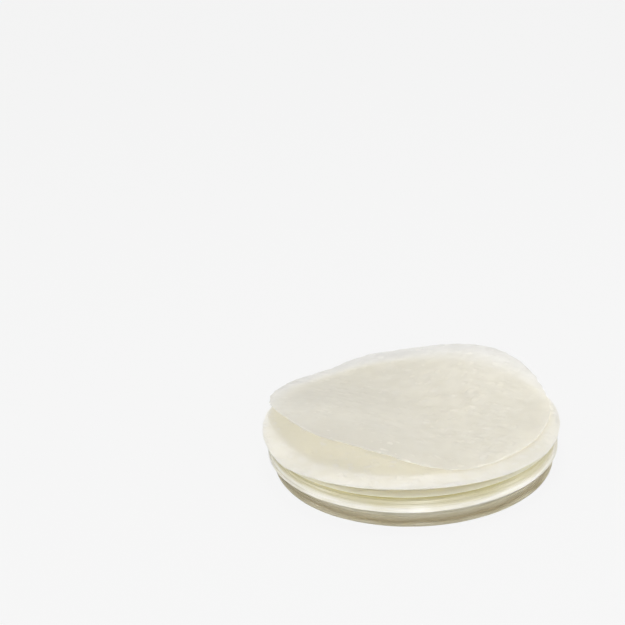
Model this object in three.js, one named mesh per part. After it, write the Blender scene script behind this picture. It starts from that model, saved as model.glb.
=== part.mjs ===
// A stack of dried rice paper wrappers, lying as it was set down.
//
// Every wrapper is a stiff disc, 22 cm across and a fraction of a millimetre
// thick, and every wrapper is its own solid. Most of them lie close together in
// one pile. The foot of the pile is a little proud and the wall above it is
// drawn in. Half way up a lip of wider wrappers juts out, sharp below and rounded
// above, where the wall draws in again. One wrapper stands proud on top of that
// wall, two more lie loose on it, and the last one has curled and has slid
// towards the back, where it juts out over the pile.
//
// Millimetres. +Z is up. The origin is the middle of the lowest wrapper's
// underside, which is the flat face that the stack rests on. +Y is the back.

import * as THREE from "three";

// ---- driving dimensions -----------------------------------------------------

const WRAPPER_RADIUS = 110; // half of the usual 22 cm
const WRAPPER_THICKNESS = 0.4; // over the pressed-in print of the drying mat
const PITCH = 0.78; // rise from one wrapper to the next, in the middle

const WRAPPER_COUNT = 40;
const FLAT_COUNT = 17; // the lowest wrappers, which lie flat
const CLOSE_COUNT = 37; // all that lie close together
const LOWER_LOOSE = 38;
const UPPER_LOOSE = 39;

// Above the flat wrappers each one sinks a little more at its rim than the one
// below it. The sinking starts at the knee and is a straight slope outwards.
const KNEE_RADIUS = 76;
const RIM_SINK_PER_WRAPPER = 0.16;
const RIM_SINK_AT = 106;

// The pile's wall: the radius of wrapper number n, with straight runs between.
const WALL = [
  { wrapper: 1, radius: 102.8 },
  { wrapper: 3, radius: 103.4 },
  { wrapper: 4, radius: 102.0 },
  { wrapper: 9, radius: 102.2 },
  { wrapper: 14, radius: 103.2 },
  { wrapper: 16, radius: 104.2 },
  { wrapper: 17, radius: 107.0 },
  { wrapper: 18, radius: 107.3 },
  { wrapper: 19, radius: 107.2 },
  { wrapper: 22, radius: 106.4 },
  { wrapper: 25, radius: 105.2 },
  { wrapper: 31, radius: 103.8 },
  { wrapper: 36, radius: 103.4 },
  { wrapper: 37, radius: 106.6 },
];

const LEAN_X = -1.2; // how far the pile has drifted sideways at its top
const LEAN_Y = 0.3;
const UNEVEN_OFFSET = 0.6; // how far single wrappers lie off the pile's middle
const UNEVEN_RADIUS = 0.25; // how far their radii differ from the wall's run
const UNEVEN_SEED = 22;

const PILE_SEGMENTS = 40;
const LOOSE_SEGMENTS = 60;

// A pull is a place on a rim that has warped. It moves the sheet up by lift, and
// towards the sheet's middle by inward, and fades out smoothly at the distance
// reach.
const LOOSE_PULLS = [
  { angle: -94, reach: 85, lift: 3.0 }, // the front, lifted off the pile
  { angle: -150, reach: 37, lift: -2.7 }, // front left, hanging down
  { angle: -31, reach: 38, lift: -1.9 }, // right, hanging down
  { angle: 61, reach: 45, lift: 2.6 }, // rear right, lifted
  { angle: 122, reach: 42, lift: -2.6 }, // rear left, hanging down
];
const LOOSE_CENTRE = { x: -1.7, y: 0.7 };
const LOOSE_RISE = 0.12; // they don't press on the pile as its own wrappers do
const LOWER_LOOSE_SHIFT = { x: -0.5, y: -0.7 };
const LOWER_LOOSE_RADIUS = 107.2;
const LOWER_LOOSE_LIFT = 0.72; // its pulls upwards are this much of the upper one's

const TOP_PULLS = [
  { angle: -148, reach: 128, lift: 18.8, inward: 8.2 }, // front left, curled well up
  { angle: -106, reach: 75, lift: 11, inward: 0.5 }, // the front edge beside it
  { angle: 46, reach: 100, lift: 10.9, inward: -2.6 }, // rear right, where it juts out
  { angle: 124, reach: 50, lift: -1.6, inward: 6 }, // rear left, hanging down
];
const TOP_CENTRE = { x: -2.6, y: 18.7 };
const TOP_HEIGHT = 31.0; // the underside of the curled wrapper, where it lies
const TOP_SLOPE = -0.006; // it falls towards the back
const TOP_OVAL = 0.025; // curling has made its plan this much narrower across

// The rings of corners, as shares of the radius, on which the sheets bend.
const LOOSE_RINGS = [0.45, 0.66, 0.8, 0.91, 1];
const TOP_RINGS = [0.3, 0.5, 0.66, 0.8, 0.91, 1];

const DRY_RICE_PAPER = 0xe6dfc4;
const LOOSE_RICE_PAPER = 0xece7d6;
const SINGLE_RICE_PAPER = 0xe9e9e4;
const ROUGHNESS = 0.42;

// ---- small helpers ----------------------------------------------------------

const radians = THREE.MathUtils.degToRad;

// Random numbers between -1 and 1 that are the same in every run.
function* unevenness(seed) {
  const halfRange = 1 << 30;
  let state = seed;
  for (;;) {
    state = (Math.imul(state, 1103515245) + 12345) & 0x7fffffff;
    yield state / halfRange - 1;
  }
}

function wallRadius(wrapper) {
  const above = WALL.findIndex((step) => step.wrapper >= wrapper);
  if (WALL[above].wrapper === wrapper) return WALL[above].radius;
  const [low, high] = [WALL[above - 1], WALL[above]];
  const share = (wrapper - low.wrapper) / (high.wrapper - low.wrapper);
  return THREE.MathUtils.lerp(low.radius, high.radius, share);
}

// Where a set of pulls, placed on the rim of a disc, takes the point (x, y, z).
// upShare weakens the pulls that go upwards.
function pulled(x, y, z, pulls, centre, upShare = 1) {
  const moved = [x, y, z];
  for (const pull of pulls) {
    const outX = Math.cos(radians(pull.angle));
    const outY = Math.sin(radians(pull.angle));
    const away = Math.hypot(
      x - centre.x - WRAPPER_RADIUS * outX,
      y - centre.y - WRAPPER_RADIUS * outY,
    );
    const near = Math.max(0, 1 - away / pull.reach);
    const strength = near * near * (3 - 2 * near);
    const inward = pull.inward ?? 0;
    moved[0] -= strength * inward * outX;
    moved[1] -= strength * inward * outY;
    moved[2] += strength * pull.lift * (pull.lift > 0 ? upShare : 1);
  }
  return moved;
}

// ---- one wrapper ------------------------------------------------------------

// A closed sheet of even thickness. middle is the point that its fan of faces
// starts from, rings are loops of (x, y) corners from the middle outwards, and
// bend(x, y) says where on its lower face such a corner comes to lie.
function sheetGeometry(middle, rings, bend) {
  const loops = rings.length;
  const around = rings[0].length;
  const corners = [middle, ...rings.flat()];
  const positions = [];
  for (const thickness of [0, WRAPPER_THICKNESS]) {
    for (const corner of corners) {
      const [x, y, z] = bend(...corner);
      positions.push(x, y, z + thickness);
    }
  }

  const upper = corners.length; // what turns a lower corner's number into an upper one's
  const corner = (loop, step) => 1 + loop * around + (step % around);
  const faces = [];
  const bothSides = (a, b, c) => {
    faces.push(upper + a, upper + b, upper + c);
    faces.push(a, c, b);
  };
  for (let step = 0; step < around; step++) {
    bothSides(0, corner(0, step), corner(0, step + 1));
    for (let loop = 0; loop + 1 < loops; loop++) {
      const [a, b] = [corner(loop, step), corner(loop + 1, step)];
      const [c, d] = [corner(loop + 1, step + 1), corner(loop, step + 1)];
      bothSides(a, b, c);
      bothSides(a, c, d);
    }
    const [near, far] = [corner(loops - 1, step), corner(loops - 1, step + 1)];
    faces.push(near, far, upper + far);
    faces.push(near, upper + far, upper + near);
  }

  const geometry = new THREE.BufferGeometry();
  geometry.setAttribute("position", new THREE.Float32BufferAttribute(positions, 3));
  geometry.setIndex(faces);
  geometry.computeVertexNormals();
  return geometry;
}

// A loop of corners round (x, y). widthShare makes it narrower across.
function loopOf(centre, radius, segments, widthShare = 1) {
  return Array.from({ length: segments }, (_, step) => {
    const angle = (2 * Math.PI * step) / segments;
    return [
      centre.x + widthShare * radius * Math.cos(angle),
      centre.y + radius * Math.sin(angle),
    ];
  });
}

// A wrapper of the close pile. The knee is the same circle in all of them, so
// that neighbours bend along the same lines, and only the rim is offset.
function closeWrapper(wrapper, centre, radius) {
  const sink = Math.max(0, wrapper - FLAT_COUNT) * RIM_SINK_PER_WRAPPER;
  const bend = (x, y) => {
    const outwards = (Math.hypot(x, y) - KNEE_RADIUS) / (RIM_SINK_AT - KNEE_RADIUS);
    return [x, y, (wrapper - 1) * PITCH - sink * Math.max(0, outwards)];
  };
  const rings = [loopOf(centre, radius, PILE_SEGMENTS)];
  if (sink > 0) rings.unshift(loopOf({ x: 0, y: 0 }, KNEE_RADIUS, PILE_SEGMENTS));
  return sheetGeometry([0, 0], rings, bend);
}

// One of the two that lie loose on the pile. Both are pulled at the same
// places, so that the upper one stays clear of the lower one.
function looseWrapper(wrapper, centre, radius, upShare) {
  const height = (wrapper - 1) * PITCH + LOOSE_RISE;
  const bend = (x, y) => pulled(x, y, height, LOOSE_PULLS, LOOSE_CENTRE, upShare);
  const rings = LOOSE_RINGS.map((share) => loopOf(centre, share * radius, LOOSE_SEGMENTS));
  return sheetGeometry([centre.x, centre.y], rings, bend);
}

// The curled wrapper on top.
function topWrapper() {
  const bend = (x, y) => {
    const height = TOP_HEIGHT + TOP_SLOPE * (y - TOP_CENTRE.y);
    return pulled(x, y, height, TOP_PULLS, TOP_CENTRE);
  };
  const rings = TOP_RINGS.map((share) =>
    loopOf(TOP_CENTRE, share * WRAPPER_RADIUS, LOOSE_SEGMENTS, 1 - TOP_OVAL * share * share),
  );
  return sheetGeometry([TOP_CENTRE.x, TOP_CENTRE.y], rings, bend);
}

// ---- the stack --------------------------------------------------------------

function paper(color) {
  return new THREE.MeshStandardMaterial({
    color,
    roughness: ROUGHNESS,
    metalness: 0,
  });
}

const dry = paper(DRY_RICE_PAPER);
const loose = paper(LOOSE_RICE_PAPER);
const single = paper(SINGLE_RICE_PAPER);

const stack = new THREE.Group();

function lay(wrapper, geometry, material) {
  const mesh = new THREE.Mesh(geometry, material);
  mesh.name = "wrapper_" + String(wrapper).padStart(2, "0");
  stack.add(mesh);
}

const uneven = unevenness(UNEVEN_SEED);
const draw = () => uneven.next().value;

// The lowest wrapper is centred on the origin.
for (let wrapper = 1; wrapper <= CLOSE_COUNT; wrapper++) {
  const height = (wrapper - 1) / (CLOSE_COUNT - 1);
  const off = wrapper === 1 ? 0 : UNEVEN_OFFSET;
  const centre = {
    x: LEAN_X * height + off * draw(),
    y: LEAN_Y * height + off * draw(),
  };
  const radius = wallRadius(wrapper) + UNEVEN_RADIUS * draw();
  lay(wrapper, closeWrapper(wrapper, centre, radius), dry);
}

const lowerCentre = {
  x: LOOSE_CENTRE.x + LOWER_LOOSE_SHIFT.x,
  y: LOOSE_CENTRE.y + LOWER_LOOSE_SHIFT.y,
};
lay(
  LOWER_LOOSE,
  looseWrapper(LOWER_LOOSE, lowerCentre, LOWER_LOOSE_RADIUS, LOWER_LOOSE_LIFT),
  loose,
);
lay(UPPER_LOOSE, looseWrapper(UPPER_LOOSE, LOOSE_CENTRE, WRAPPER_RADIUS, 1), loose);
lay(WRAPPER_COUNT, topWrapper(), single);

export default stack;
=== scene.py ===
# %% [markdown]
# # A stack of dried rice paper wrappers
#
# Forty round wrappers lie on each other. Each one is a brittle sheet of dried
# rice batter, 22 cm across, that was spread on a woven bamboo mat, and the mat has
# left its print in it. A single sheet is whitish and lets light through. A pile
# of them is cream, and olive yellow wherever light only gets in through other
# sheets. The last sheet has curled while it dried and juts out over the pile.
#
# The solids of the frame are the plain form of every sheet. This script makes a
# finished sheet for each of them and leaves the frame as it is.

# %% Load the frame
import math
import random

import bmesh
import bpy
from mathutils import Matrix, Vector, noise


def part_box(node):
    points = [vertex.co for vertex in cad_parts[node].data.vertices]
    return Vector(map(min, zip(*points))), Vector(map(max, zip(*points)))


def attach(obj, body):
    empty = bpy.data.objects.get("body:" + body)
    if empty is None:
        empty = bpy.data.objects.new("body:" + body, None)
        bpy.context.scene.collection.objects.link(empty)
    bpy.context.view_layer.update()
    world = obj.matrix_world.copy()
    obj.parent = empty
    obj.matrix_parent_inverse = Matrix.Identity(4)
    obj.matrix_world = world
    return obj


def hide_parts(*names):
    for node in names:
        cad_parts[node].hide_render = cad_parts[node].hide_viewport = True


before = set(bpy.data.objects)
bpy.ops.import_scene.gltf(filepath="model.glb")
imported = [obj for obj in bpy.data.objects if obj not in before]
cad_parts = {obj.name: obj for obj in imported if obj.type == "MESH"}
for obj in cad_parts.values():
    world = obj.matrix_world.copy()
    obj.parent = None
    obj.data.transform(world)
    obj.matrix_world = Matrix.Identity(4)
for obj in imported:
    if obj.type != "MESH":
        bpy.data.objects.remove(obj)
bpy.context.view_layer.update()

# %% [markdown]
# ## Sizes
#
# Places and radii of the sheets in the pile are read from the frame, so they are
# not repeated here. The three loose sheets are warped by a few pulls on their
# rims, and those are the same named values that the solids were made from.

# %% Sizes
MM = 0.001

WRAPPER_RADIUS = 110 * MM
WRAPPER_THICKNESS = 0.4 * MM
PITCH = 0.78 * MM
WRAPPER_COUNT = 40
CLOSE_COUNT = 37
LOWER_LOOSE = 38
UPPER_LOOSE = 39
KNEE_RADIUS = 76 * MM


def node_name(number):
    return f"wrapper_{number:02d}"


print("wrappers:", WRAPPER_COUNT, "of which", CLOSE_COUNT, "lie close")

# %% [markdown]
# ## Camera
#
# The pile is seen from a little above its rim through a moderately long lens, so
# that the near and the far rim are almost equally large. The camera is rolled by
# a few degrees. Its turn is written in the order ZYX, because then the last
# number is the roll about the line of sight.

# %% Camera
CAMERA_PLACE = (-69.0 * MM, -927.5 * MM, 489.5 * MM)
CAMERA_PITCH = math.radians(21.675)
CAMERA_ROLL = math.radians(-3.534)
LENS = 80

bpy.ops.object.camera_add(location=CAMERA_PLACE)
camera = bpy.context.object
camera.name = "camera"
camera.data.lens = LENS
camera.rotation_mode = "ZYX"
camera.rotation_euler = (math.pi / 2 - CAMERA_PITCH, 0, CAMERA_ROLL)
bpy.context.scene.camera = camera
print("camera: pitch", round(math.degrees(CAMERA_PITCH), 2), "degrees down")

# %% [markdown]
# ## Nodes by code
#
# The studio and the finishes are node trees. They could be clicked together in
# the shader editor. Here one helper adds a node, sets what is special about it and
# fills its sockets, either with a number or with a link from another node, so that
# a tree reads like a list of steps.


# %% Nodes by code
def add(tree, kind, sockets=(), **settings):
    """Adds a node. sockets are pairs of a socket's name or number and what goes into it."""
    node = tree.nodes.new(kind)
    for setting, value in settings.items():
        setattr(node, setting, value)
    for socket, value in sockets:
        if isinstance(value, bpy.types.NodeSocket):
            tree.links.new(value, node.inputs[socket])
        else:
            node.inputs[socket].default_value = value
    return node


def maths(tree, operation, first, second=0.0):
    return add(tree, "ShaderNodeMath", [(0, first), (1, second)], operation=operation).outputs[0]


def ranged(tree, value, ends, results=(0.0, 1.0), rise="LINEAR"):
    """The first result where value is at the first end, and the second at the second."""
    sockets = [
        ("Value", value),
        ("From Min", ends[0]),
        ("From Max", ends[1]),
        ("To Min", results[0]),
        ("To Max", results[1]),
    ]
    return add(tree, "ShaderNodeMapRange", sockets, interpolation_type=rise).outputs[0]


def blend(tree, share, first, second):
    """A shader that is first where share is 0 and second where it is 1."""
    return add(tree, "ShaderNodeMixShader", [(0, share), (1, first), (2, second)]).outputs[0]


def empty_tree(owner):
    owner.use_nodes = True
    owner.node_tree.nodes.clear()
    return owner.node_tree


def grey(level):
    return (level, level, level, 1)


# %% [markdown]
# ## Studio: the floor
#
# A plain floor under the stack would show its shadow and grow darker with
# distance. So what the camera sees of this floor glows nearly all by itself. For
# all other rays it is a matt grey. Behind the middle of the pile it returns most of
# the light, which shines up through the sheet that juts out. In front it returns
# less, or the wall of the pile would have no dark side.

# %% Studio: the floor
FLOOR_SIZE = 8.0
FLOOR_SHOWN = 0.915
FLOOR_GLOW_SHARE = 0.975
FLOOR_CHANGE = (-0.13, 0.13)
FLOOR_RETURN = (0.18, 0.8)


def floor_material():
    material = bpy.data.materials.new("studio floor")
    tree = empty_tree(material)
    place = add(tree, "ShaderNodeTexCoord").outputs["Object"]
    depth = add(tree, "ShaderNodeSeparateXYZ", [(0, place)]).outputs["Y"]
    returned = ranged(tree, depth, FLOOR_CHANGE, FLOOR_RETURN)
    matt = add(tree, "ShaderNodeBsdfDiffuse", [("Color", returned)])
    pale = add(tree, "ShaderNodeBsdfDiffuse", [("Color", grey(FLOOR_SHOWN))])
    glow = add(tree, "ShaderNodeEmission", [("Color", grey(FLOOR_SHOWN))])
    shown = blend(tree, FLOOR_GLOW_SHARE, pale.outputs[0], glow.outputs[0])
    path = add(tree, "ShaderNodeLightPath")
    either = blend(tree, path.outputs["Is Camera Ray"], matt.outputs[0], shown)
    add(tree, "ShaderNodeOutputMaterial", [("Surface", either)])
    return material


bpy.ops.mesh.primitive_plane_add(size=FLOOR_SIZE)
floor = bpy.context.object
floor.name = "floor"
floor.data.materials.append(floor_material())
print("floor:", FLOOR_SIZE, "m")

# %% [markdown]
# ## Studio: the room
#
# Thin paper looks best in soft light from many sides. Part of it is the light of a
# white room, most of it from low down and a little from the back and the left. A
# picture of a room could be used as the sky. Three plain slopes are enough here:
# each is strongest at one end of an axis and fades to nothing at the other end.
# The camera sees one even tone instead, which is that of the floor.

# %% Studio: the room
SKY_SHOWN = 0.915
# An axis, and how strong the light is from its low and from its high end.
SKY = {"back": ("Y", 0, 0.12), "left": ("X", 0.07, 0), "low": ("Z", 1.65, 0)}
AXIS_ENDS = (-1, 1)

world = bpy.data.worlds.new("studio")
bpy.context.scene.world = world
sky = empty_tree(world)
heading = add(sky, "ShaderNodeTexCoord").outputs["Generated"]
axes = add(sky, "ShaderNodeSeparateXYZ", [(0, heading)]).outputs
level = 0.0
for axis, at_low, at_high in SKY.values():
    level = maths(sky, "ADD", ranged(sky, axes[axis], AXIS_ENDS, (at_low, at_high)), level)
seen = add(sky, "ShaderNodeLightPath").outputs["Is Camera Ray"]
strength = add(sky, "ShaderNodeMix", [(0, seen), (2, level), (3, SKY_SHOWN)], data_type="FLOAT")
light = add(sky, "ShaderNodeBackground", [("Color", grey(1)), ("Strength", strength.outputs[0])])
add(sky, "ShaderNodeOutputWorld", [("Surface", light.outputs[0])])
print("room light from:", ", ".join(SKY))

# %% [markdown]
# ## Studio: the lamps
#
# The lamp above the pile lays the shade of the curled sheet on the sheets below
# it, makes the rounded lip of the pile bright and leaves the wall under it dark.
# Three low lamps in front and at the sides light the wall, and weaker ones fill
# in. All are square, of one size, and face the middle of the pile's foot. Light
# crosses many sheets before it comes out again, so it is followed for long.

# %% Studio: the lamps
LAMP_SIZE = 0.36
LAMPS = {
    "top": {"from": (0, 0.05, 1.15), "power": 5.3},
    "front": {"from": (0, -0.38, 1.05), "power": 1.7},
    "low front": {"from": (0, -1.1, 0.5), "power": 7.6},
    "low left": {"from": (-1.1, -0.25, 0.45), "power": 3.7},
    "low right": {"from": (1.1, -0.25, 0.45), "power": 3.8},
    "right": {"from": (0.8, 0, 0.8), "power": 1.2},
    "back": {"from": (0, 0.6, 1.0), "power": 1.1},
}
BOUNCES = 32
DIFFUSE_BOUNCES = 12

for name, one in LAMPS.items():
    bpy.ops.object.light_add(type="AREA", location=one["from"])
    lamp = bpy.context.object
    lamp.name = name + " light"
    lamp.rotation_mode = "QUATERNION"
    lamp.rotation_quaternion = Vector(one["from"]).to_track_quat("Z", "Y")
    lamp.data.size = LAMP_SIZE
    lamp.data.energy = one["power"]

scene = bpy.context.scene
scene.view_settings.view_transform = "Standard"
scene.cycles.max_bounces = BOUNCES
scene.cycles.diffuse_bounces = DIFFUSE_BOUNCES
scene.cycles.transmission_bounces = BOUNCES
scene.cycles.transparent_max_bounces = BOUNCES
print("lamps:", ", ".join(LAMPS))

# %% [markdown]
# ## Working in edit mode
#
# Every sheet is shaped in edit mode. Four small helpers do what the mouse would:
# choose one object, go into edit mode with nothing selected, select the corners
# that pass a test of their place, and leave edit mode again.


# %% Working in edit mode
def choose(obj):
    bpy.ops.object.select_all(action="DESELECT")
    obj.select_set(True)
    bpy.context.view_layer.objects.active = obj


def enter(obj):
    choose(obj)
    bpy.ops.object.mode_set(mode="EDIT")
    bpy.ops.mesh.select_all(action="DESELECT")


def pick(obj, kind, test):
    """Selects the verts or edges of obj, in edit mode, whose ends all pass the test."""
    bpy.ops.mesh.select_mode(type="EDGE" if kind == "edges" else "VERT")
    mesh = bmesh.from_edit_mesh(obj.data)
    for item in getattr(mesh, kind):
        ends = item.verts if kind == "edges" else [item]
        item.select_set(all(test(end.co) for end in ends))
    mesh.select_flush_mode()
    bmesh.update_edit_mesh(obj.data)


def leave():
    bpy.ops.object.mode_set(mode="OBJECT")


def out_from(centre, place):
    return math.hypot(place[0] - centre[0], place[1] - centre[1])


# %% [markdown]
# ## One sheet of the close pile
#
# Only the rim of these sheets shows, as one of many thin edges in the wall of the
# pile, so a flat disc with a round nose at its rim is enough. It could be a
# cylinder, but a cylinder's sharp edges would glint in hard lines. A filled circle
# is inset at the knee, where the pile starts to slope down towards its rim. It is
# then extruded to its thickness, and the two edges of the rim are bevelled into a
# nose. The sheet is modelled once, and every other one is a copy that is sized
# and moved to where its solid lies.

# %% One sheet of the close pile
PILE_STEPS = 256
NOSE = 0.07 * MM
NOSE_STEPS = 2
NEARLY = 0.01 * MM
ORIGIN = (0, 0)


def pile_sheet():
    bpy.ops.mesh.primitive_circle_add(
        vertices=PILE_STEPS, radius=WRAPPER_RADIUS, fill_type="NGON", location=(0, 0, 0)
    )
    sheet = bpy.context.object
    enter(sheet)
    bpy.ops.mesh.select_all(action="SELECT")
    bpy.ops.mesh.inset(thickness=WRAPPER_RADIUS - KNEE_RADIUS)
    bpy.ops.mesh.select_all(action="SELECT")
    bpy.ops.mesh.extrude_region_move(TRANSFORM_OT_translate={"value": (0, 0, WRAPPER_THICKNESS)})
    for height in (0, WRAPPER_THICKNESS):
        pick(
            sheet,
            "edges",
            lambda place: out_from(ORIGIN, place) > WRAPPER_RADIUS - NEARLY
            and abs(place.z - height) < NEARLY,
        )
        bpy.ops.mesh.bevel(offset=NOSE, segments=NOSE_STEPS, affect="EDGES")
    bpy.ops.mesh.select_all(action="SELECT")
    bpy.ops.mesh.normals_make_consistent(inside=False)
    leave()
    return sheet


base_sheet = pile_sheet()
base_sheet.name = "base_sheet"
print("pile sheet:", len(base_sheet.data.polygons), "faces")

# %% [markdown]
# ## Uneven rims
#
# A real rim is not a true circle. Each copy's rim is let in and out and up and
# down by a few long slow waves, which differ from sheet to sheet. A noise texture
# could move it, too, but waves that go a whole number of times round the sheet
# close on themselves.

# %% Uneven rims
RIM_WAVES = (2, 3, 5, 9, 16, 27)
WAVE_SIZES = (0.4, 1)
RIM_IN_AND_OUT = 0.25 * MM
RIM_UP_AND_DOWN = 0.02 * MM
RUFFLED_FROM = 1.05 * KNEE_RADIUS
UNEVEN_SEED = 22


def slow_waves(luck):
    """A function of the angle that wanders between about -1 and 1."""
    parts = [(count, luck.uniform(0, math.tau), luck.uniform(*WAVE_SIZES)) for count in RIM_WAVES]
    whole = sum(size for _, _, size in parts)

    def wandering(angle):
        return sum(size * math.sin(count * angle + start) for count, start, size in parts) / whole

    return wandering


def ruffle(sheet, luck, centre, number):
    """Makes the rim of a sheet uneven. The lowest sheet stays flat on the table."""
    outwards, upwards = slow_waves(luck), slow_waves(luck)
    for corner in sheet.data.vertices:
        distance = out_from(centre, corner.co)
        if distance < RUFFLED_FROM:
            continue
        x, y = corner.co.x - centre[0], corner.co.y - centre[1]
        angle = math.atan2(y, x)
        growth = 1 + RIM_IN_AND_OUT * outwards(angle) / distance
        corner.co.x = centre[0] + x * growth
        corner.co.y = centre[1] + y * growth
        if number > 1:
            corner.co.z += RIM_UP_AND_DOWN * upwards(angle)


print("rims: in and out by", RIM_IN_AND_OUT / MM, "mm, up and down by", RIM_UP_AND_DOWN / MM, "mm")

# %% [markdown]
# ## The close pile
#
# A solid's box says all that its copy needs: the middle of the box is the middle
# of the sheet, half its width is the radius, its top is the sheet's upper face,
# and its lowest point is how far the rim has sunk below the middle. Towards its
# rim a real sheet is swollen by the relief of its print, and neighbours touch
# there but for a fine groove, so the upper face of each copy is let up to the
# next sheet. Where a neighbour is almost as wide, both are trimmed to the radius
# between them, because the wall of the pile is as smooth as a cut loaf. Every rim
# starts a little inside its radius, because its waves swing outwards, too.

# %% The close pile
CLEAR_STEP = 1.1 * MM
GROOVE = 0.05 * MM


def pile_facts(number):
    """The middle, the radius, the underside and the sinking of a solid in the pile."""
    low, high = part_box(node_name(number))
    underside = high[2] - WRAPPER_THICKNESS
    centre = ((low[0] + high[0]) / 2, (low[1] + high[1]) / 2)
    return centre, (high[0] - low[0]) / 2, underside, underside - low[2]


def trimmed(radius, neighbour):
    """The radius at the face that lies on a neighbour."""
    if abs(neighbour - radius) < CLEAR_STEP:
        return (neighbour + radius) / 2
    return radius


def lay_in_pile(number, luck):
    centre, radius, underside, sunk = pile_facts(number)
    below = above = radius
    swelling = 0
    if number > 1:
        below = trimmed(radius, pile_facts(number - 1)[1])
    if number < CLOSE_COUNT - 1:
        _, next_radius, next_underside, next_sunk = pile_facts(number + 1)
        above = trimmed(radius, next_radius)
        swelling = (next_underside - next_sunk) - (underside - sunk) - WRAPPER_THICKNESS - GROOVE
    sheet = base_sheet.copy()
    sheet.data = base_sheet.data.copy()
    sheet.name = f"sheet_{number:02d}"
    bpy.context.collection.objects.link(sheet)
    enter(sheet)
    for size, up, on_top in ((below, 0, False), (above, swelling, True)):
        pick(
            sheet,
            "verts",
            lambda place: out_from(ORIGIN, place) > KNEE_RADIUS + NEARLY
            and (place.z > WRAPPER_THICKNESS / 2) == on_top,
        )
        share = (size - RIM_IN_AND_OUT / 2) / WRAPPER_RADIUS
        bpy.ops.transform.resize(value=(share, share, 1), center_override=(0, 0, 0))
        bpy.ops.transform.translate(value=(*centre, up - sunk))
    bpy.ops.mesh.select_all(action="SELECT")
    bpy.ops.transform.translate(value=(0, 0, underside))
    leave()
    ruffle(sheet, luck, centre, number)
    return sheet


rim_luck = random.Random(UNEVEN_SEED)
pile = [lay_in_pile(number, rim_luck) for number in range(1, CLOSE_COUNT + 1)]
bpy.data.objects.remove(base_sheet)
print("close pile:", len(pile), "sheets")

# %% [markdown]
# ## Painted shade on drawn-in rims
#
# Where a rim is drawn in under wider sheets, light comes to it mostly through
# those sheets, and the paper looks olive yellow there. Rays that colour
# themselves on the way through forty sheets would need hundreds of bounces. So
# this shade is painted: every sheet of the pile carries a number for it, which its
# finish reads, and the same number paints the shade on the rims under the lip. It
# is given for a few sheets and runs evenly between them, and it drifts up and down
# by a sheet or so round the pile.

# %% Painted shade on drawn-in rims
SHADE_ATTRIBUTE = "painted_shade"
SHADE_DRIFT = 1.2
SHADE_SEED = 5
# For the number of a sheet, how much painted shade its rim gets.
PAINTED_SHADE = {
    1: 0.3,
    3: 0.3,
    4: 1.0,
    8: 0.6,
    12: 0.1,
    17: 0.0,
    22: 0.0,
    25: 0.5,
    31: 0.6,
    34: 1.0,
    37: 1.0,
}


def between(table, number):
    """The value for number in a table that gives only some numbers."""
    before = max(key for key in table if key <= number)
    after = min(key for key in table if key >= number)
    share = (number - before) / max(1, after - before)
    return table[before] + share * (table[after] - table[before])


def store_painted_shade(sheet, values):
    store = sheet.data.attributes.new(SHADE_ATTRIBUTE, "FLOAT", "POINT")
    store.data.foreach_set("value", values)


drift = slow_waves(random.Random(SHADE_SEED))
for number, sheet in enumerate(pile, start=1):
    values = []
    for corner in sheet.data.vertices:
        like = number + SHADE_DRIFT * drift(math.atan2(corner.co.y, corner.co.x))
        values.append(between(PAINTED_SHADE, max(1, min(CLOSE_COUNT, like))))
    store_painted_shade(sheet, values)
print("sheltered:", [round(between(PAINTED_SHADE, number), 2) for number in range(1, CLOSE_COUNT + 1)])

# %% [markdown]
# ## A loose sheet
#
# The three loose sheets show their faces, so they need corners all over, close
# enough for the cells of the mat. A filled circle has none inside, and a plane cut
# to a circle would have a ragged rim. A ring of corners that is closed with a grid
# fill has them evenly spread. One side of that grid is a quarter of the ring.

# %% A loose sheet
RIM_CORNERS = 800


def flat_sheet(centre, radius, height, rim_corners):
    bpy.ops.mesh.primitive_circle_add(
        vertices=rim_corners, radius=radius, fill_type="NOTHING", location=(*centre, height)
    )
    sheet = bpy.context.object
    bpy.ops.object.transform_apply(location=True, rotation=True, scale=True)
    enter(sheet)
    bpy.ops.mesh.select_all(action="SELECT")
    bpy.ops.mesh.fill_grid(span=rim_corners // 4)
    leave()
    return sheet


print("loose sheets: up to", RIM_CORNERS, "corners on the rim")

# %% [markdown]
# ## The relief of a loose sheet
#
# The mat is a plain weave of bamboo strips, and a sheet that was dried on it is
# quilted: the crossings of two strips have left shallow pillows, strong in some
# places and missing in others. The sheet has also cockled a little where it dried
# unevenly, and its rim is where the batter happened to stop running. A
# displacement by an image would need the image, so the corners are moved as with a
# sculpting brush, by amounts that are worked out from their places. The turn of
# the print also picks the part of the noise, so that no two sheets are alike. The
# rib inside each strip is finer than the corners and is left to the finish.

# %% The relief of a loose sheet
CELL = 9 * MM
PILLOW = 0.11 * MM
PATCH_SIZE = 2 * CELL
PATCH_MEAN = 0.5
PATCH_CONTRAST = 1.4
COCKLE = 0.22 * MM
COCKLE_SIZE = 26 * MM
COCKLE_STEP = 1
RIM_RUN = 0.45 * MM
RIM_RUN_SIZE = 7 * MM
RIM_RUN_INWARD = 0.5
RIM_SHARE = 0.05


def pillow(x, y, turn):
    """-0.5 between two crossings of the mat, and 0.5 in the middle of one."""
    along = (x * math.cos(turn) + y * math.sin(turn)) / CELL
    across = (y * math.cos(turn) - x * math.sin(turn)) / CELL
    return abs(math.sin(math.pi * along) * math.sin(math.pi * across)) - 0.5


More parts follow.
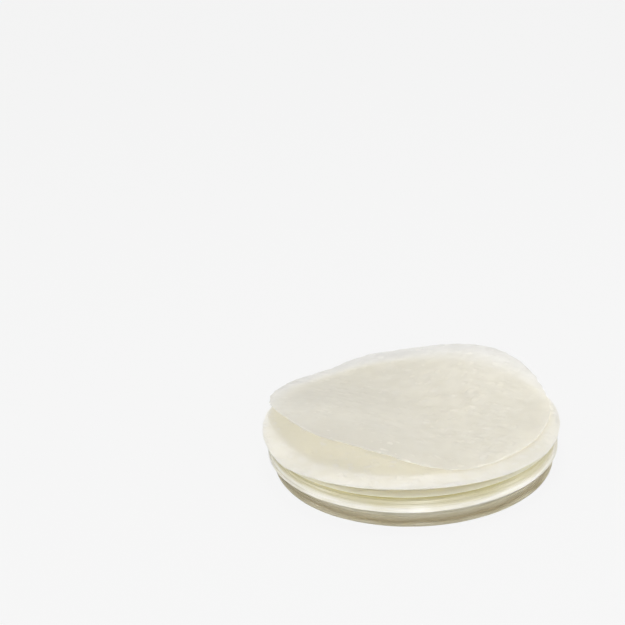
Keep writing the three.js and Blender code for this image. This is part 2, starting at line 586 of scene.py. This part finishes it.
def press(sheet, centre, radius, turn, rim_run=RIM_RUN):
    """Gives a flat sheet its relief. rim_run is how far its rim has run in and out."""
    for corner in sheet.data.vertices:
        x, y = corner.co.x - centre[0], corner.co.y - centre[1]
        share = math.hypot(x, y) / radius
        patches = noise.noise(Vector((x, y, turn)) / PATCH_SIZE)
        patchy = max(0, PATCH_MEAN + PATCH_CONTRAST * patches)
        corner.co.z += PILLOW * patchy * pillow(x, y, turn)
        corner.co.z += COCKLE * share * noise.noise(Vector((x, y, turn + COCKLE_STEP)) / COCKLE_SIZE)
        at_rim = max(0, (share - 1 + RIM_SHARE) / RIM_SHARE)
        angle = math.atan2(y, x)
        ring = Vector((math.cos(angle), math.sin(angle), turn)) * radius / RIM_RUN_SIZE
        growth = 1 + at_rim * rim_run * (noise.noise(ring) - RIM_RUN_INWARD) / radius
        corner.co.x = centre[0] + x * growth
        corner.co.y = centre[1] + y * growth


print("mat: cells of", round(CELL / MM, 1), "mm, pillows of", round(PILLOW / MM, 2), "mm")

# %% [markdown]
# ## Warping a sheet
#
# The warp is made as by hand, too: the corner of the rim that has come up is
# moved, and proportional editing takes the paper round it along, less and less up
# to the given reach. Then the sheet is given its thickness. Batter runs out thin
# at its edge, and a rim of full thickness would shine as a white line, so a share
# can be given for the edge.


# %% Warping a sheet
def pull(sheet, pulls, centre, up_share=1):
    """Lifts or lowers places on the rim, measured from centre, with the paper round them.

    A pull is given by its angle in degrees, and by its reach, its lift and how far it
    goes inward in millimetres.
    """
    for one in pulls:
        angle = math.radians(one["angle"])
        out = (math.cos(angle), math.sin(angle))
        anchor = (centre[0] + WRAPPER_RADIUS * out[0], centre[1] + WRAPPER_RADIUS * out[1])
        lift = one["lift"] * MM * (up_share if one["lift"] > 0 else 1)
        inward = one.get("inward", 0) * MM
        enter(sheet)
        mesh = bmesh.from_edit_mesh(sheet.data)
        min(mesh.verts, key=lambda corner: out_from(anchor, corner.co)).select_set(True)
        mesh.select_flush_mode()
        bmesh.update_edit_mesh(sheet.data)
        bpy.ops.transform.translate(
            value=(-inward * out[0], -inward * out[1], lift),
            use_proportional_edit=True,
            proportional_edit_falloff="SMOOTH",
            proportional_size=one["reach"] * MM,
        )
        leave()


def thicken(sheet, rim_share=1):
    """Gives a sheet its thickness, of which the edge of its rim keeps a share."""
    body = sheet.vertex_groups.new(name="body")
    body.add(range(len(sheet.data.vertices)), 1, "REPLACE")
    enter(sheet)
    bpy.ops.mesh.select_mode(type="VERT")
    bpy.ops.mesh.select_non_manifold()
    leave()
    rim = [corner.index for corner in sheet.data.vertices if corner.select]
    body.add(rim, rim_share, "REPLACE")
    modifier = sheet.modifiers.new("thickness", "SOLIDIFY")
    modifier.thickness = WRAPPER_THICKNESS
    modifier.offset = 1
    modifier.vertex_group = body.name
    bpy.ops.object.modifier_apply(modifier=modifier.name)
    sheet.vertex_groups.clear()


# %% [markdown]
# ## The two wrappers that lie loose on the pile
#
# They have come up together at the front and at the rear right, and hang down
# over the rim of the pile in three places. Both are pulled at the same places, so
# that the upper one stays clear of the lower one. Of the lower one only the rim
# shows, so it has fewer corners and no relief.

# %% The two wrappers that lie loose on the pile
LOOSE_RISE = 0.12 * MM
LOOSE_CENTRE = (-1.7 * MM, 0.7 * MM)
LOWER_LOOSE_CENTRE = (-2.2 * MM, 0.0 * MM)
LOWER_LOOSE_RADIUS = 107.2 * MM
LOWER_LOOSE_LIFT = 0.72
UPPER_TURN = math.radians(12)
LOOSE_PULLS = (
    {"angle": -94, "reach": 85, "lift": 3.0},
    {"angle": -150, "reach": 37, "lift": -2.7},
    {"angle": -31, "reach": 38, "lift": -1.9},
    {"angle": 61, "reach": 45, "lift": 2.6},
    {"angle": 122, "reach": 42, "lift": -2.6},
)

lower = flat_sheet(
    LOWER_LOOSE_CENTRE,
    LOWER_LOOSE_RADIUS,
    (LOWER_LOOSE - 1) * PITCH + LOOSE_RISE,
    RIM_CORNERS // 2,
)
lower.name = f"sheet_{LOWER_LOOSE}"
pull(lower, LOOSE_PULLS, LOOSE_CENTRE, LOWER_LOOSE_LIFT)
thicken(lower)

upper = flat_sheet(
    LOOSE_CENTRE, WRAPPER_RADIUS, (UPPER_LOOSE - 1) * PITCH + LOOSE_RISE, RIM_CORNERS
)
upper.name = f"sheet_{UPPER_LOOSE}"
press(upper, LOOSE_CENTRE, WRAPPER_RADIUS, UPPER_TURN)
pull(upper, LOOSE_PULLS, LOOSE_CENTRE)
thicken(upper)
print("loose:", lower.name, "and", upper.name)

# %% [markdown]
# ## The curled wrapper on top
#
# Curling has made its plan a little narrower across, most at the rim. It is
# narrowed and laid on a slight slope while it is flat, and then pulled into its
# curl, the small pulls first.

# %% The curled wrapper on top
TOP_CENTRE = (-2.6 * MM, 18.7 * MM)
TOP_HEIGHT = 31.0 * MM
TOP_SLOPE = -0.006
TOP_OVAL = 0.025
TOP_TURN = math.radians(-33)
TOP_RIM_RUN = 1.1 * MM
TOP_RIM_SHARE = 0.15
TOP_PULLS = (
    {"angle": 124, "reach": 50, "lift": -1.6, "inward": 6},
    {"angle": 46, "reach": 100, "lift": 10.9, "inward": -2.6},
    {"angle": -106, "reach": 75, "lift": 11, "inward": 0.5},
    {"angle": -148, "reach": 128, "lift": 18.8, "inward": 8.2},
)

top = flat_sheet(TOP_CENTRE, WRAPPER_RADIUS, TOP_HEIGHT, RIM_CORNERS)
top.name = f"sheet_{WRAPPER_COUNT}"
press(top, TOP_CENTRE, WRAPPER_RADIUS, TOP_TURN, TOP_RIM_RUN)
for corner in top.data.vertices:
    share = out_from(TOP_CENTRE, corner.co) / WRAPPER_RADIUS
    corner.co.x = TOP_CENTRE[0] + (corner.co.x - TOP_CENTRE[0]) * (1 - TOP_OVAL * share * share)
    corner.co.z += TOP_SLOPE * (corner.co.y - TOP_CENTRE[1])
pull(top, TOP_PULLS, TOP_CENTRE)
thicken(top, TOP_RIM_SHARE)
for sheet in (lower, upper, top):
    ends = (sheet.bound_box[0], sheet.bound_box[6])
    print(sheet.name, [tuple(round(c / MM, 2) for c in p) for p in ends])

# %% [markdown]
# ## In the shade of the curled wrapper
#
# Where the curled wrapper lies over them, the two loose ones get their light
# through it, and that shade is painted on them as a little more yellow. They carry
# the same number of painted shade as the rims of the pile, which is 1 below the
# curled wrapper, half at its outline and 0 just outside it. The outline is found
# by sorting the corners of the curled wrapper by their direction. It carries
# painted shade itself, too: its lifted front has no pile close below it that would
# brighten it, so it is painted greyer the nearer to its edge.

# %% In the shade of the curled wrapper
SHADE_EDGE = 6 * MM
DIRECTIONS = 90
LIFTED_AT = math.radians(-115)
LIFTED_SPREAD = math.radians(50)
LIFTED_DEPTH = 45 * MM


def turn_of(place):
    return math.atan2(place[1] - TOP_CENTRE[1], place[0] - TOP_CENTRE[0])


def direction(place):
    return int(DIRECTIONS * turn_of(place) / math.tau) % DIRECTIONS


outline = [0] * DIRECTIONS
for corner in top.data.vertices:
    where = direction(corner.co)
    outline[where] = max(outline[where], out_from(TOP_CENTRE, corner.co))


def inside_by(place):
    """How far a place lies inside the outline of the curled wrapper."""
    return outline[direction(place)] - out_from(TOP_CENTRE, place)


# Painted shade of the loose sheets under the curled wrapper.
def shaded(place):
    return min(1, 0.5 + inside_by(place) / SHADE_EDGE)


# Painted shade of the curled wrapper's lifted front, greyer towards its edge.
def lifted(place):
    near_rim = 1 - inside_by(place) / LIFTED_DEPTH
    return near_rim * max(0, 1 - ((turn_of(place) - LIFTED_AT) / LIFTED_SPREAD) ** 2)


for sheet, rule in ((lower, shaded), (upper, shaded), (top, lifted)):
    store_painted_shade(sheet, [max(0, rule(corner.co)) for corner in sheet.data.vertices])
print("outline of the curled wrapper:", round(min(outline) / MM), "to", round(max(outline) / MM), "mm")

# %% [markdown]
# ## Groups, noises and steps
#
# Two patterns are used by several papers, so each is a node group with sockets
# of its own, which is made once. Both are built from noises that are cut into
# soft patches: nothing up to one value, everything from another one on, and a
# smooth rise between.


# %% Groups, noises and steps
def group(name, inputs, outputs):
    tree = bpy.data.node_groups.new(name, "ShaderNodeTree")
    for label, kind, value in inputs:
        socket = tree.interface.new_socket(name=label, in_out="INPUT", socket_type=kind)
        if value is not None:
            socket.default_value = value
    for label in outputs:
        tree.interface.new_socket(name=label, in_out="OUTPUT", socket_type="NodeSocketFloat")
    return tree, add(tree, "NodeGroupInput").outputs


def noise_value(tree, vector, size, detail):
    sockets = [("Vector", vector), ("Scale", 1 / size), ("Detail", detail)]
    return add(tree, "ShaderNodeTexNoise", sockets).outputs["Fac"]


def steps(tree, value, ends):
    return ranged(tree, value, ends, rise="SMOOTHSTEP")


# %% [markdown]
# ## The print of the mat
#
# On its way over the strip below it, each bamboo strip presses a rib into the
# sheet, and the crest of the rib catches the light as a short bright streak, in two
# directions. They could be drawn with wave textures, but those can't change
# direction from cell to cell. Here a checker of cells says which strip lies on
# top, the rib runs along that strip and fades out where it dives under the next
# one, and a noise leaves the print strong in some places and faint in others. The
# bright streak is a painted highlight, and a second, finer noise picks the ribs
# that get it.

# %% The print of the mat
WANDER = 1.6 * MM
WANDER_SIZE = 3 * CELL
RIBS_IN_A_STRIP = 1.0
PRINT_SIZE = 1.6 * CELL
PRINT_DETAIL = 3
PRINT_STEPS = (0.4, 0.6)
LUCKY_SIZE = 0.6 * CELL
LUCKY_DETAIL = 1
LUCKY_STEPS = (0.44, 0.58)
GLINT_STEPS = (0.3, 0.75)


def mat_print():
    tree, given = group(
        "mat print",
        [
            ("Place", "NodeSocketVector", None),
            ("Turn", "NodeSocketFloat", 0.0),
            ("Cell", "NodeSocketFloat", CELL),
        ],
        ("Relief", "Streaks"),
    )
    wander = add(tree, "ShaderNodeTexNoise", [("Vector", given["Place"]), ("Scale", 1 / WANDER_SIZE)])
    off = add(
        tree,
        "ShaderNodeVectorMath",
        [(0, wander.outputs["Color"]), ("Scale", 2 * WANDER)],
        operation="SCALE",
    )
    moved = add(tree, "ShaderNodeVectorMath", [(0, given["Place"]), (1, off.outputs[0])], operation="ADD")
    turned = add(
        tree,
        "ShaderNodeVectorRotate",
        [("Vector", moved.outputs[0]), ("Angle", maths(tree, "MULTIPLY", given["Turn"], -1.0))],
        rotation_type="Z_AXIS",
    )
    axes = add(tree, "ShaderNodeSeparateXYZ", [(0, turned.outputs[0])]).outputs
    x = maths(tree, "DIVIDE", axes["X"], given["Cell"])
    y = maths(tree, "DIVIDE", axes["Y"], given["Cell"])
    whole = maths(tree, "ADD", maths(tree, "FLOOR", x), maths(tree, "FLOOR", y))
    upper_strip = maths(tree, "FLOORED_MODULO", whole, 2.0)
    in_x, in_y = maths(tree, "FRACT", x), maths(tree, "FRACT", y)
    across = add(tree, "ShaderNodeMix", [(0, upper_strip), (2, in_x), (3, in_y)]).outputs[0]
    along = add(tree, "ShaderNodeMix", [(0, upper_strip), (2, in_y), (3, in_x)]).outputs[0]
    wave = maths(tree, "SINE", maths(tree, "MULTIPLY", across, math.tau * RIBS_IN_A_STRIP))
    ribs = steps(tree, wave, (-1, 1))
    swell = maths(tree, "SINE", maths(tree, "MULTIPLY", along, math.pi))
    patchy = steps(tree, noise_value(tree, given["Place"], PRINT_SIZE, PRINT_DETAIL), PRINT_STEPS)
    relief = maths(tree, "MULTIPLY", maths(tree, "MULTIPLY", ribs, swell), patchy)
    lucky = steps(tree, noise_value(tree, given["Place"], LUCKY_SIZE, LUCKY_DETAIL), LUCKY_STEPS)
    # A painted highlight on the ribs that the finer noise picks.
    painted_glints = maths(tree, "MULTIPLY", steps(tree, relief, GLINT_STEPS), lucky)
    add(tree, "NodeGroupOutput", [("Relief", relief), ("Streaks", painted_glints)])
    return tree


print_tree = mat_print()
print("group:", print_tree.name, "of", len(print_tree.nodes), "nodes")

# %% [markdown]
# ## Cloudy paper
#
# Rice batter is never spread evenly, so a sheet is cloudy: denser and whiter in
# one place, thinner and yellower in the next. It could be painted, but one noise
# whose size is an input does for all the papers. For the pile its height is
# stretched, because there every sheet of the wall has a tone of its own.

# %% Cloudy paper
CLOUD_DETAIL = 3
CLOUD_STEPS = (0.3, 0.7)


def clouds():
    tree, given = group(
        "clouds",
        [
            ("Place", "NodeSocketVector", None),
            ("Size", "NodeSocketFloat", 0.01),
            ("Height stretch", "NodeSocketFloat", 1.0),
        ],
        ("Dense",),
    )
    stretch = add(tree, "ShaderNodeCombineXYZ", [(0, 1.0), (1, 1.0), (2, given["Height stretch"])])
    place = add(
        tree,
        "ShaderNodeVectorMath",
        [(0, given["Place"]), (1, stretch.outputs[0])],
        operation="MULTIPLY",
    )
    scaled = add(
        tree,
        "ShaderNodeVectorMath",
        [(0, place.outputs[0]), ("Scale", maths(tree, "DIVIDE", 1.0, given["Size"]))],
        operation="SCALE",
    )
    value = noise_value(tree, scaled.outputs[0], 1.0, CLOUD_DETAIL)
    add(tree, "NodeGroupOutput", [("Dense", steps(tree, value, CLOUD_STEPS))])
    return tree


cloud_tree = clouds()
print("group:", cloud_tree.name, "of", len(cloud_tree.nodes), "nodes")

# %% [markdown]
# ## Papers
#
# There are five papers. The rims of the pile are cream, and those below its lip
# are duller, which is painted shade under the lip. The last one of the pile stands
# proud and is paler, partly as a painted highlight on its rim. The two loose
# wrappers are paler still, and the single one on top is whitish. Each paper has a
# colour where it is thin, one where it is dense, one for painted shade and one for
# the light that comes through it. What a thin sheet sends back is a little
# bluish, and what it lets through is warmer.
#
# Clear is the share of the light that goes straight through, and glow the share of
# the rest that comes through in all directions. Then come the size of the clouds,
# how much closer they lie in height, and how far the print of the mat is turned,
# for the papers whose face shows.

# %% Papers
WALL_PAPER = {"clear": 0.0, "glow": 0.3, "cloud": 16 * MM, "stretch": 10.0}
PAPERS = {
    "pile paper": {
        **WALL_PAPER,
        "thin": (0.91, 0.89, 0.79),
        "dense": (0.99, 0.98, 0.95),
        # painted shade, olive yellow where light comes only through other sheets
        "painted_shade": (0.56, 0.49, 0.16),
        "through": (0.94, 0.90, 0.76),
    },
    # Rims below the lip: their duller colours are painted shade under the lip.
    "recess paper with painted shade": {
        **WALL_PAPER,
        "thin": (0.72, 0.67, 0.50),
        "dense": (0.88, 0.85, 0.70),
        # painted shade under the lip
        "painted_shade": (0.43, 0.36, 0.22),
        "through": (0.90, 0.85, 0.66),
    },
    # Paler than the pile paper, partly as a painted highlight on the bright line of its rim.
    "proud paper": {
        "thin": (0.97, 0.95, 0.85),
        "dense": (0.99, 0.985, 0.95),
        "through": (0.97, 0.96, 0.85),
        "clear": 0.05,
        "glow": 0.72,
        "cloud": 14 * MM,
        "stretch": 1.0,
    },
    "loose paper": {
        "thin": (0.90, 0.885, 0.83),
        "dense": (0.99, 0.985, 0.97),
        # painted shade under the curled wrapper
        "painted_shade": (0.99, 0.968, 0.86),
        "through": (0.957, 0.947, 0.915),
        "clear": 0.08,
        "glow": 0.70,
        "cloud": 10 * MM,
        "stretch": 1.0,
        "turn": UPPER_TURN,
    },
    "single paper": {
        "thin": (0.73, 0.74, 0.755),
        "dense": (0.90, 0.91, 0.925),
        # painted shade at its lifted front
        "painted_shade": (0.50, 0.505, 0.52),
        "through": (0.978, 0.966, 0.935),
        "clear": 0.3,
        "glow": 0.75,
        "cloud": 10 * MM,
        "stretch": 1.0,
        "turn": TOP_TURN,
    },
}
print("papers:", ", ".join(PAPERS))

# %% [markdown]
# ## Rice paper as a material
#
# The paper scatters part of the light back, lets part of it through in all
# directions, lets a little straight through, and has a low sheen. A glass shader
# with a volume would do all of it at once, but it is slow and noisy in forty thin
# sheets. So each of the four is a shader of its own and they are mixed in fixed
# shares. The sheen is left out on the inside of a face, or it would count twice.

# %% Rice paper as a material
SKIN_ROUGHNESS = 0.45
SHEEN_ROUGHNESS = 0.34
SHEEN_IOR = 1.4
# The colour of the painted highlights on the ribs of the print.
PAINTED_GLINT = (1, 1, 1)
RIB_HEIGHT = 0.5 * MM


def mixed(tree, share, first, second):
    """A colour that is first where share is 0 and second where it is 1."""
    ends = [value if isinstance(value, bpy.types.NodeSocket) else (*value, 1) for value in (first, second)]
    node = add(tree, "ShaderNodeMix", [(0, share), (6, ends[0]), (7, ends[1])], data_type="RGBA")
    return node.outputs[2]


def paper(name, look):
    material = bpy.data.materials.new(name)
    tree = empty_tree(material)
    place = add(tree, "ShaderNodeTexCoord").outputs["Object"]
    sockets = [("Place", place), ("Size", look["cloud"]), ("Height stretch", look["stretch"])]
    cloudy = add(tree, "ShaderNodeGroup", sockets, node_tree=cloud_tree).outputs["Dense"]
    colour = mixed(tree, cloudy, look["thin"], look["dense"])
    # Painted shade: the colour turns towards the paper's shade colour by the number that each sheet
    # carries.
    if "painted_shade" in look:
        share = add(tree, "ShaderNodeAttribute", attribute_name=SHADE_ATTRIBUTE).outputs["Fac"]
        colour = mixed(tree, share, colour, look["painted_shade"])
    if "turn" in look:
        sockets = [("Place", place), ("Turn", look["turn"])]
        mat = add(tree, "ShaderNodeGroup", sockets, node_tree=print_tree).outputs
        # The bright streaks on the ribs are painted highlights mixed into the colour.
        colour = mixed(tree, mat["Streaks"], colour, PAINTED_GLINT)
    skin = add(tree, "ShaderNodeBsdfPrincipled", [("Base Color", colour), ("Roughness", SKIN_ROUGHNESS)])
    through = add(tree, "ShaderNodeBsdfTranslucent", [("Color", (*look["through"], 1))])
    shine = add(tree, "ShaderNodeBsdfAnisotropic", [("Roughness", SHEEN_ROUGHNESS)])
    if "turn" in look:
        bump = add(tree, "ShaderNodeBump", [("Height", mat["Relief"]), ("Distance", RIB_HEIGHT)])
        for shader in (skin, through, shine):
            tree.links.new(bump.outputs[0], shader.inputs["Normal"])
    surface = blend(tree, look["glow"], skin.outputs[0], through.outputs[0])
    fresnel = add(tree, "ShaderNodeFresnel", [("IOR", SHEEN_IOR)]).outputs[0]
    inside = add(tree, "ShaderNodeNewGeometry").outputs["Backfacing"]
    sheen = maths(tree, "MULTIPLY", fresnel, maths(tree, "SUBTRACT", 1.0, inside))
    surface = blend(tree, sheen, surface, shine.outputs[0])
    if look["clear"]:
        window = add(tree, "ShaderNodeBsdfTransparent")
        surface = blend(tree, look["clear"], surface, window.outputs[0])
    add(tree, "ShaderNodeOutputMaterial", [("Surface", surface)])
    return material


finishes = {name: paper(name, look) for name, look in PAPERS.items()}
print("materials:", ", ".join(material.name for material in finishes.values()))

# %% [markdown]
# ## Hand-over
#
# Every sheet gets its paper and smooth shading up to the edge of its rim. It is
# hung under the root body, and the solid that it stands for is hidden.

# %% Hand-over
SMOOTH_UP_TO = math.radians(40)
BELOW_THE_LIP = 16


def slot_and_paper(number):
    if number == WRAPPER_COUNT:
        return "single_wrapper", "single paper"
    if number > CLOSE_COUNT:
        return "loose_wrapper", "loose paper"
    if number == CLOSE_COUNT:
        return "pile_wrapper", "proud paper"
    # Below the lip the rims get the paper with painted shade.
    if number <= BELOW_THE_LIP:
        return "pile_wrapper", "recess paper with painted shade"
    return "pile_wrapper", "pile paper"


sheets = pile + [lower, upper, top]
for number, sheet in enumerate(sheets, start=1):
    slot, finish = slot_and_paper(number)
    sheet.data.materials.clear()
    sheet.data.materials.append(finishes[finish])
    choose(sheet)
    bpy.ops.object.shade_smooth_by_angle(angle=SMOOTH_UP_TO)
    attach(sheet, "root")
    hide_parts(node_name(number))
print("handed over:", len(sheets), "sheets")
